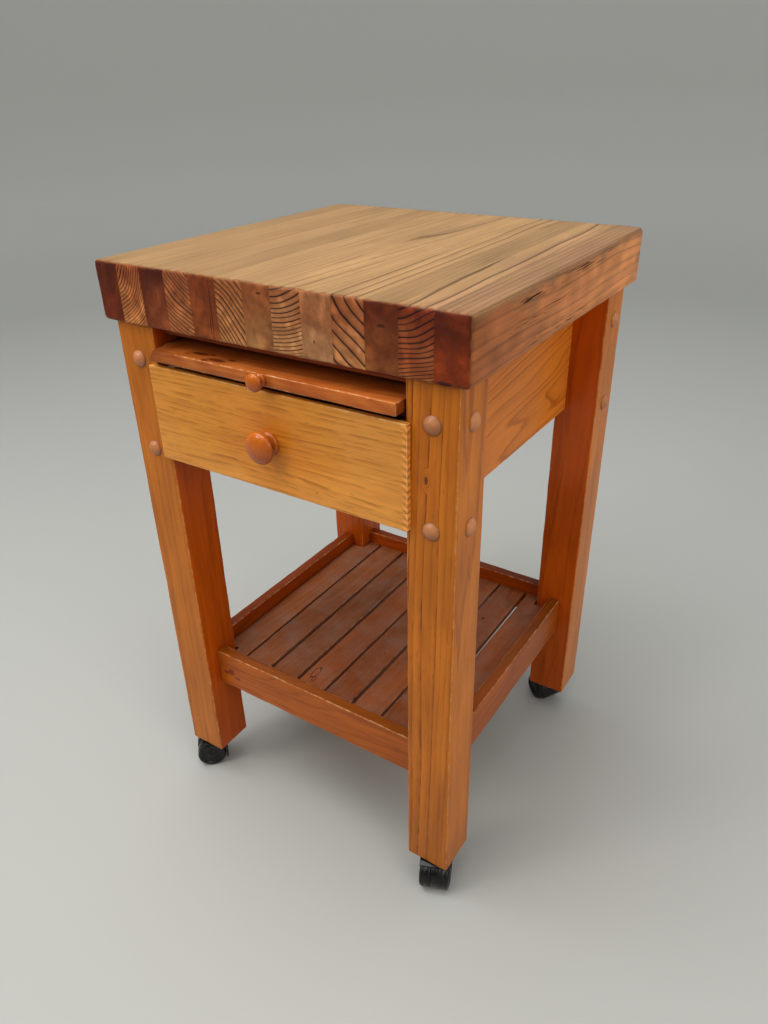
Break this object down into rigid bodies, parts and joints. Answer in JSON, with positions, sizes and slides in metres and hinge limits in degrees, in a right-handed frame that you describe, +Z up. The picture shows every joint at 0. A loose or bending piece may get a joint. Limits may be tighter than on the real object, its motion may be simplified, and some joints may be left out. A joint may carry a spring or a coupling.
{
  "type": "kitchen island cart",
  "caption": "Kitchen island cart: thick laminated chopping-block top on square legs, drawer with round knob, pull-out board, slatted shelf and twin-wheel swivel casters.",
  "frame": {"origin": "on the floor, under the middle of the bounding box", "axes": "+Z up, front (drawer side) at -Y, +X to the right seen from the front"},
  "size_m": [0.545, 0.563, 0.89],
  "materials": {
    "end_grain_top": "oiled, worn",
    "pine_frame": "amber varnish",
    "pine_inside": "amber varnish",
    "pine_front": "clear varnish",
    "pine_board": "worn varnish",
    "slat_wood": "dusty stain",
    "plug_wood": "varnish",
    "knob_wood": "gloss varnish",
    "plywood": "bare",
    "caster_plastic": "moulded black",
    "steel": "zinc plated"
  },
  "bodies": {
    "cart": {"stave_1": "end_grain_top", "stave_2": "end_grain_top", "stave_3": "end_grain_top", "stave_4": "end_grain_top", "stave_5": "end_grain_top", "stave_6": "end_grain_top", "stave_7": "end_grain_top", "stave_8": "end_grain_top", "stave_9": "end_grain_top", "stave_10": "end_grain_top", "stave_11": "end_grain_top", "stave_12": "end_grain_top", "stave_13": "end_grain_top", "leg_fl": "pine_frame", "leg_fr": "pine_frame", "leg_bl": "pine_frame", "leg_br": "pine_frame", "apron_left": "pine_frame", "apron_right": "pine_frame", "apron_back": "pine_frame", "stretcher": "pine_inside", "drawer_runners": "pine_inside", "board_guides": "pine_inside", "rail_front": "pine_frame", "rail_back": "pine_frame", "rail_left": "pine_frame", "rail_right": "pine_frame", "slat_cleats": "pine_inside", "slat_1": "slat_wood", "slat_2": "slat_wood", "slat_3": "slat_wood", "slat_4": "slat_wood", "slat_5": "slat_wood", "slat_6": "slat_wood", "slat_7": "slat_wood", "slat_8": "slat_wood", "plugs": "plug_wood", "caster_stems": "steel"},
    "drawer": {"drawer_front": "pine_front", "drawer_left": "plywood", "drawer_right": "plywood", "drawer_back": "plywood", "drawer_bottom": "plywood", "drawer_knob": "knob_wood"},
    "board": {"board": "pine_board", "board_knob": "knob_wood"},
    "swivel_fl": {"hood_fl": "caster_plastic"},
    "swivel_fr": {"hood_fr": "caster_plastic"},
    "swivel_bl": {"hood_bl": "caster_plastic"},
    "swivel_br": {"hood_br": "caster_plastic"},
    "wheel_fl_a": {"wheel_fl_a": "caster_plastic"},
    "wheel_fl_b": {"wheel_fl_b": "caster_plastic"},
    "wheel_fr_a": {"wheel_fr_a": "caster_plastic"},
    "wheel_fr_b": {"wheel_fr_b": "caster_plastic"},
    "wheel_bl_a": {"wheel_bl_a": "caster_plastic"},
    "wheel_bl_b": {"wheel_bl_b": "caster_plastic"},
    "wheel_br_a": {"wheel_br_a": "caster_plastic"},
    "wheel_br_b": {"wheel_br_b": "caster_plastic"}
  },
  "joints": [
    {"name": "drawer_slide", "type": "slide", "parent": "cart", "child": "drawer", "axis": [0, -1, 0], "range_m": [0, 0.3]},
    {"name": "board_slide", "type": "slide", "parent": "cart", "child": "board", "axis": [0, -1, 0], "range_m": [0, 0.28]},
    {"name": "swivel_fl", "type": "hinge", "parent": "cart", "child": "swivel_fl", "pos_m": [-0.225, -0.2125, 0.045], "axis": [0, 0, 1], "continuous": true},
    {"name": "swivel_fr", "type": "hinge", "parent": "cart", "child": "swivel_fr", "pos_m": [0.225, -0.2125, 0.045], "axis": [0, 0, 1], "continuous": true},
    {"name": "swivel_bl", "type": "hinge", "parent": "cart", "child": "swivel_bl", "pos_m": [-0.225, 0.238, 0.045], "axis": [0, 0, 1], "continuous": true},
    {"name": "swivel_br", "type": "hinge", "parent": "cart", "child": "swivel_br", "pos_m": [0.225, 0.238, 0.045], "axis": [0, 0, 1], "continuous": true},
    {"name": "spin_fl_a", "type": "hinge", "parent": "swivel_fl", "child": "wheel_fl_a", "pos_m": [-0.22832, -0.2371, 0.025], "axis": [0.7193, -0.6947, 0], "continuous": true},
    {"name": "spin_fl_b", "type": "hinge", "parent": "swivel_fl", "child": "wheel_fl_b", "pos_m": [-0.24947, -0.21668, 0.025], "axis": [0.7193, -0.6947, 0], "continuous": true},
    {"name": "spin_fr_a", "type": "hinge", "parent": "swivel_fr", "child": "wheel_fr_a", "pos_m": [0.24612, -0.22554, 0.025], "axis": [0.9272, 0.3746, 0], "continuous": true},
    {"name": "spin_fr_b", "type": "hinge", "parent": "swivel_fr", "child": "wheel_fr_b", "pos_m": [0.21886, -0.23655, 0.025], "axis": [0.9272, 0.3746, 0], "continuous": true},
    {"name": "spin_bl_a", "type": "hinge", "parent": "swivel_bl", "child": "wheel_bl_a", "pos_m": [-0.21123, 0.25865, 0.025], "axis": [-0.342, 0.9397, 0], "continuous": true},
    {"name": "spin_bl_b", "type": "hinge", "parent": "swivel_bl", "child": "wheel_bl_b", "pos_m": [-0.20118, 0.23103, 0.025], "axis": [-0.342, 0.9397, 0], "continuous": true},
    {"name": "spin_br_a", "type": "hinge", "parent": "swivel_br", "child": "wheel_br_a", "pos_m": [0.20033, 0.23527, 0.025], "axis": [-0.5, -0.866, 0], "continuous": true},
    {"name": "spin_br_b", "type": "hinge", "parent": "swivel_br", "child": "wheel_br_b", "pos_m": [0.21503, 0.26073, 0.025], "axis": [-0.5, -0.866, 0], "continuous": true}
  ]
}
